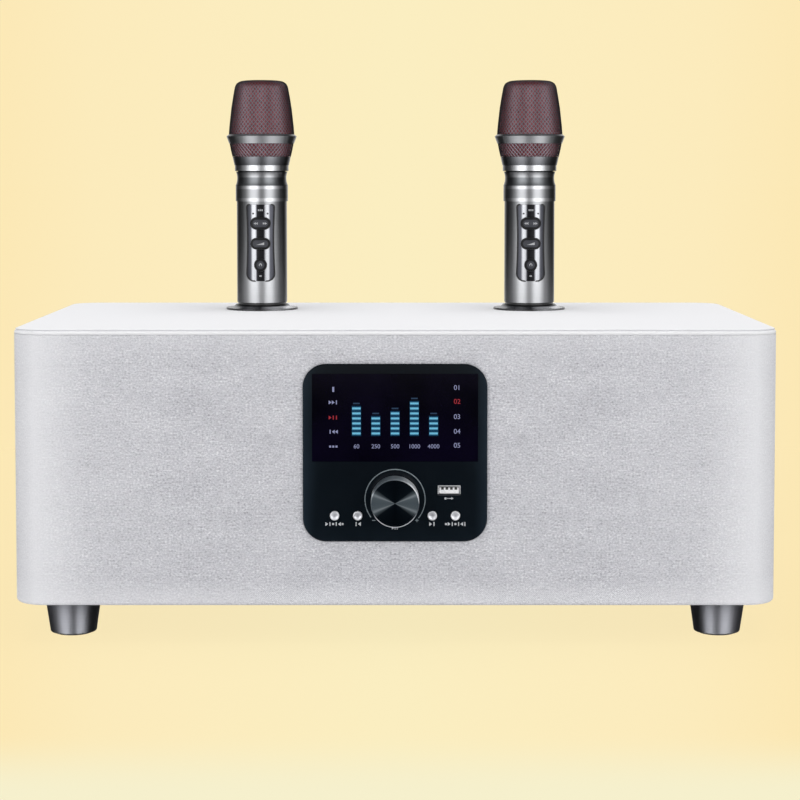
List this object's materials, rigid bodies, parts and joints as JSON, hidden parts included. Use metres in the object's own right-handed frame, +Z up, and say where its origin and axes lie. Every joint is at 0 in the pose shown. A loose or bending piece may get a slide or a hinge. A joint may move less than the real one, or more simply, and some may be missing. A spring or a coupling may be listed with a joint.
{
  "type": "karaoke speaker",
  "caption": "Fabric-wrapped karaoke speaker box with a front control panel, display, knob and buttons, and wireless microphones that stand in holders in its top.",
  "frame": {"origin": "on the floor, midway between the ends of the box and midway between the knob face and the ends of the rear sockets", "axes": "+X along the width, +Y from the front to the back, +Z up"},
  "size_m": [0.45, 0.2846, 0.3377],
  "materials": {
    "wood": "raw fibreboard",
    "fabric": "melange weave",
    "white_panel": "satin white",
    "white_rim": "gloss white",
    "gunmetal": "polished gunmetal",
    "rubber": "matt black",
    "screw_steel": "blackened",
    "fascia": "gloss black",
    "display": "dark lens",
    "black_plastic": "matt black",
    "circuit": "green resist",
    "switch_steel": "plain",
    "knob_metal": "black, spun face",
    "button_silver": "bright",
    "driver_steel": "black",
    "cone_paper": "black paper",
    "nickel": "nickel plate",
    "brass": "plain",
    "mic_metal": "gunmetal lacquer",
    "mic_chrome": "dark chrome",
    "mic_mesh": "dark mesh",
    "foam": "red foam",
    "capsule": "plain",
    "battery_wrap": "film"
  },
  "bodies": {
    "speaker_box": {"amplifier_board": "circuit", "audio_jacks": "nickel", "bottom_board": "wood", "cabinet_shell": "wood", "charge_contacts": "brass", "control_board": "circuit", "control_panel": "fascia", "display_module": "display", "driver_frames": "driver_steel", "driver_grilles": "driver_steel", "encoder_body": "switch_steel", "fabric_wrap": "fabric", "feet": "gunmetal", "foot_pads": "rubber", "holder_cups": "black_plastic", "holder_rings": "gunmetal", "panel_housing": "black_plastic", "power_inlet": "black_plastic", "rear_panel": "black_plastic", "surround_left": "rubber", "surround_right": "rubber", "top_panel": "white_panel", "top_rim": "white_rim", "usb_port": "switch_steel", "wood_screws": "screw_steel"},
    "mic_left": {"mic_left_body": "mic_metal", "mic_left_faceplate": "mic_chrome", "mic_left_collar": "mic_metal", "mic_left_grille": "mic_mesh", "mic_left_foam": "foam", "mic_left_band": "mic_chrome", "mic_left_capsule": "capsule", "mic_left_tail_cap": "black_plastic", "mic_left_circuit_board": "circuit", "mic_left_battery": "battery_wrap"},
    "mic_left_rocker_key": {"mic_left_rocker_key": "black_plastic"},
    "mic_left_volume_key": {"mic_left_volume_key": "black_plastic"},
    "mic_left_power_key": {"mic_left_power_key": "black_plastic"},
    "cone_left": {"cone_left": "cone_paper"},
    "mic_right": {"mic_right_body": "mic_metal", "mic_right_faceplate": "mic_chrome", "mic_right_collar": "mic_metal", "mic_right_grille": "mic_mesh", "mic_right_foam": "foam", "mic_right_band": "mic_chrome", "mic_right_capsule": "capsule", "mic_right_tail_cap": "black_plastic", "mic_right_circuit_board": "circuit", "mic_right_battery": "battery_wrap"},
    "mic_right_rocker_key": {"mic_right_rocker_key": "black_plastic"},
    "mic_right_volume_key": {"mic_right_volume_key": "black_plastic"},
    "mic_right_power_key": {"mic_right_power_key": "black_plastic"},
    "cone_right": {"cone_right": "cone_paper"},
    "encoder_rotor": {"encoder_rotor": "brass"},
    "knob": {"knob": "knob_metal", "encoder_shaft": "switch_steel"},
    "button_one": {"button_one": "button_silver"},
    "button_two": {"button_two": "button_silver"},
    "button_three": {"button_three": "button_silver"},
    "button_four": {"button_four": "button_silver"}
  },
  "joints": [
    {"name": "cone_left_stroke", "type": "slide", "parent": "speaker_box", "child": "cone_left", "axis": [0, -1, 0], "range_m": [-0.003, 0.003], "stiffness_N_per_m": 2500, "deforming": ["surround_left"]},
    {"name": "cone_right_stroke", "type": "slide", "parent": "speaker_box", "child": "cone_right", "axis": [0, -1, 0], "range_m": [-0.003, 0.003], "stiffness_N_per_m": 2500, "deforming": ["surround_right"]},
    {"name": "knob_turn", "type": "hinge", "parent": "speaker_box", "child": "encoder_rotor", "pos_m": [0, -0.12575, 0.08575], "axis": [0, -1, 0], "continuous": true},
    {"name": "knob_push", "type": "slide", "parent": "encoder_rotor", "child": "knob", "axis": [0, 1, 0], "range_m": [0, 0.0005], "stiffness_N_per_m": 5000},
    {"name": "button_one_press", "type": "slide", "parent": "speaker_box", "child": "button_one", "axis": [0, 1, 0], "range_m": [0, 0.0006], "stiffness_N_per_m": 3000},
    {"name": "button_two_press", "type": "slide", "parent": "speaker_box", "child": "button_two", "axis": [0, 1, 0], "range_m": [0, 0.0006], "stiffness_N_per_m": 3000},
    {"name": "button_three_press", "type": "slide", "parent": "speaker_box", "child": "button_three", "axis": [0, 1, 0], "range_m": [0, 0.0006], "stiffness_N_per_m": 3000},
    {"name": "button_four_press", "type": "slide", "parent": "speaker_box", "child": "button_four", "axis": [0, 1, 0], "range_m": [0, 0.0006], "stiffness_N_per_m": 3000},
    {"name": "mic_left_lift", "type": "slide", "parent": "speaker_box", "child": "mic_left", "axis": [0, 0, 1], "range_m": [0, 0.05]},
    {"name": "mic_left_rocker_tilt", "type": "hinge", "parent": "mic_left", "child": "mic_left_rocker_key", "pos_m": [-0.0895, 0.05145, 0.2426], "axis": [0, 0, 1], "range_deg": [-3, 3], "stiffness_Nm_per_rad": 0.3},
    {"name": "mic_left_volume_press", "type": "slide", "parent": "mic_left", "child": "mic_left_volume_key", "axis": [0, 1, 0], "range_m": [0, 0.0005], "stiffness_N_per_m": 3000},
    {"name": "mic_left_power_press", "type": "slide", "parent": "mic_left", "child": "mic_left_power_key", "axis": [0, 1, 0], "range_m": [0, 0.0005], "stiffness_N_per_m": 3000},
    {"name": "mic_right_lift", "type": "slide", "parent": "speaker_box", "child": "mic_right", "axis": [0, 0, 1], "range_m": [0, 0.05]},
    {"name": "mic_right_rocker_tilt", "type": "hinge", "parent": "mic_right", "child": "mic_right_rocker_key", "pos_m": [0.0895, 0.05145, 0.2426], "axis": [0, 0, 1], "range_deg": [-3, 3], "stiffness_Nm_per_rad": 0.3},
    {"name": "mic_right_volume_press", "type": "slide", "parent": "mic_right", "child": "mic_right_volume_key", "axis": [0, 1, 0], "range_m": [0, 0.0005], "stiffness_N_per_m": 3000},
    {"name": "mic_right_power_press", "type": "slide", "parent": "mic_right", "child": "mic_right_power_key", "axis": [0, 1, 0], "range_m": [0, 0.0005], "stiffness_N_per_m": 3000}
  ]
}
